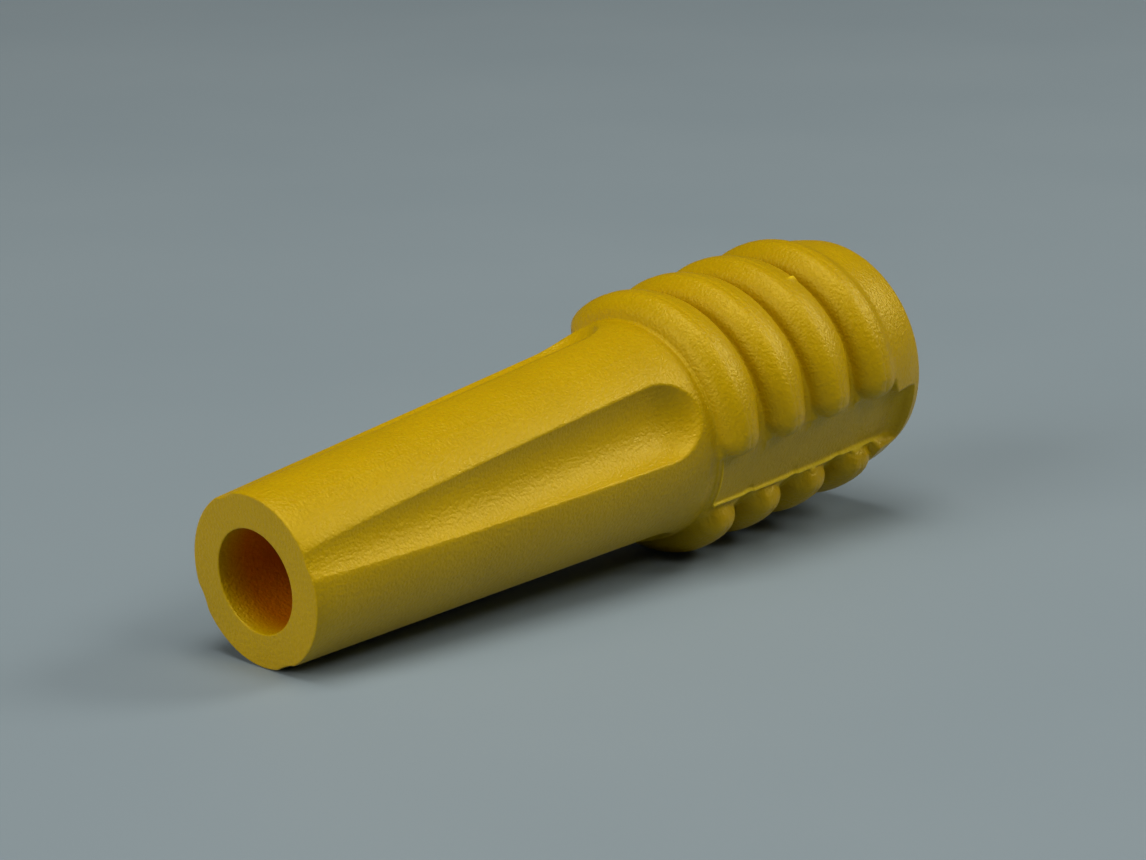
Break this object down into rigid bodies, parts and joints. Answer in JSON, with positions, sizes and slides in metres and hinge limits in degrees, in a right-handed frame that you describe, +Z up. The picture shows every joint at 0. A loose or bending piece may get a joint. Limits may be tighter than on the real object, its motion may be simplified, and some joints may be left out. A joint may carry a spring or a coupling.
{
  "type": "twist wire connector",
  "caption": "Pass-through twist-on wire connector: tapered fluted plastic sleeve with grip rings, open nose and a conical spring inside.",
  "frame": {"origin": "centre of the bore in the nose face", "axes": "+X along the sleeve from the nose to the wide mouth, +Z up as the sleeve lies on its side, rolled so that one flat looks towards -Y and down"},
  "size_m": [0.0402, 0.0136, 0.0136],
  "materials": {
    "shell_plastic": "moulded, fine spark-eroded grain",
    "spring_steel": "zinc-plated drawn wire"
  },
  "bodies": {
    "root": {"shell": "shell_plastic", "grip_spring": "spring_steel"}
  },
  "joints": []
}
